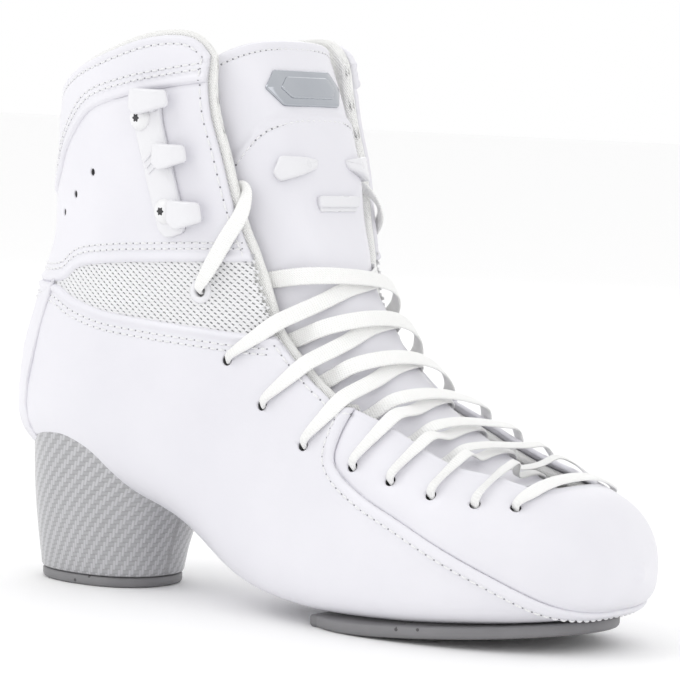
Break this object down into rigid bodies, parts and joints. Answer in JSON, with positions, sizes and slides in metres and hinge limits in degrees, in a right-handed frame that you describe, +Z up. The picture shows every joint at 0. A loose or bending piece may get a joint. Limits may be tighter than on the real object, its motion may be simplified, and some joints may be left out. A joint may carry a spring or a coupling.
{
  "type": "figure skating boot",
  "caption": "High-heeled lace-up figure skating boot with a padded collar, mesh ankle gussets, side hook plates, a padded tongue and separate heel and sole plates that take a blade.",
  "frame": {"origin": "middle of the bounding box in plan, on the floor that the heel and sole plates stand on", "axes": "+X towards the toe, +Z up, -Y on the outer (lateral) side of this right boot"},
  "size_m": [0.2624, 0.0956, 0.2011],
  "materials": {
    "shell_leather": "smooth semi-gloss coated leather, cool white, fine grain",
    "lining_fabric": "soft padded lining, slightly cream white, matt",
    "gusset_mesh": "open spacer mesh, white with grey pores",
    "lace_cotton": "flat woven lace, slightly cream white, matt",
    "footbed_foam": "brushed grey top cloth on foam",
    "tongue_foam": "soft padded lining over foam, slightly cream white",
    "stiffener_board": "matt fibre board, brown",
    "heel_composite": "clear-coated twill weave, silver grey",
    "plate_plastic": "moulded grey plastic, satin",
    "white_plastic": "moulded white plastic, satin",
    "screw_steel": "white painted dome-head screw with a dark socket",
    "backing_steel": "stamped steel strip",
    "emblem_chrome": "bright moulded chrome-look badge",
    "tip_plastic": "heat-shrunk clear plastic film"
  },
  "bodies": {
    "boot": {"heel_plate": "plate_plastic", "heel_block": "heel_composite", "sole_plate": "plate_plastic", "quarter_shell": "shell_leather", "backstay": "shell_leather", "vamp_panel": "shell_leather", "lower_lining": "lining_fabric", "heel_counter": "stiffener_board", "toe_puff": "stiffener_board", "lasting_board": "stiffener_board", "footbed": "footbed_foam", "tongue_lower": "shell_leather", "lace_lateral_1": "lace_cotton", "lace_lateral_2": "lace_cotton", "lace_lateral_3": "lace_cotton", "lace_lateral_4": "lace_cotton", "lace_lateral_5": "lace_cotton", "lace_lateral_6": "lace_cotton", "lace_lateral_7": "lace_cotton", "lace_medial_1": "lace_cotton", "lace_medial_2": "lace_cotton", "lace_medial_3": "lace_cotton", "lace_medial_4": "lace_cotton", "lace_medial_5": "lace_cotton", "lace_medial_6": "lace_cotton", "lace_medial_7": "lace_cotton", "lace_toe_bar": "lace_cotton"},
    "cuff": {"cuff_quarter_lateral": "shell_leather", "cuff_quarter_medial": "shell_leather", "collar_band": "shell_leather", "cuff_lining": "lining_fabric", "hook_plate_lateral": "white_plastic", "hook_backing_lateral": "backing_steel", "hook_screw_lateral_upper": "screw_steel", "hook_screw_lateral_lower": "screw_steel", "hook_plate_medial": "white_plastic", "hook_backing_medial": "backing_steel", "hook_screw_medial_upper": "screw_steel", "hook_screw_medial_lower": "screw_steel"},
    "gusset": {"gusset_mesh_lateral": "gusset_mesh", "gusset_mesh_medial": "gusset_mesh", "eyelet_ring_lateral": "white_plastic", "eyelet_ring_medial": "white_plastic", "lace_end_lateral": "lace_cotton", "lace_end_medial": "lace_cotton", "lace_tip_lateral": "tip_plastic", "lace_tip_medial": "tip_plastic"},
    "tongue": {"tongue_cover": "shell_leather", "tongue_padding": "tongue_foam", "tongue_guide_lateral": "white_plastic", "tongue_guide_medial": "white_plastic", "tongue_keeper": "white_plastic", "tongue_emblem": "emblem_chrome"}
  },
  "joints": [
    {"name": "cuff_flex", "type": "hinge", "parent": "boot", "child": "cuff", "pos_m": [-0.09784, 0, 0.11], "axis": [0, 1, 0], "range_deg": [-2, 7], "stiffness_Nm_per_rad": 8, "deforming": ["gusset_mesh_lateral", "gusset_mesh_medial", "lace_end_lateral", "lace_end_medial", "lace_tip_lateral", "lace_tip_medial"]},
    {"name": "gusset_fold", "type": "hinge", "parent": "boot", "child": "gusset", "pos_m": [-0.09784, 0, 0.11], "axis": [0, 1, 0], "range_deg": [-1, 3.5]},
    {"name": "tongue_flex", "type": "hinge", "parent": "boot", "child": "tongue", "pos_m": [0.00616, 0, 0.13], "axis": [0, 1, 0], "range_deg": [-1.5, 18], "stiffness_Nm_per_rad": 1.2}
  ],
  "couplings": [
    {"joint": "gusset_fold", "follows": "cuff_flex", "ratio": 0.5}
  ]
}
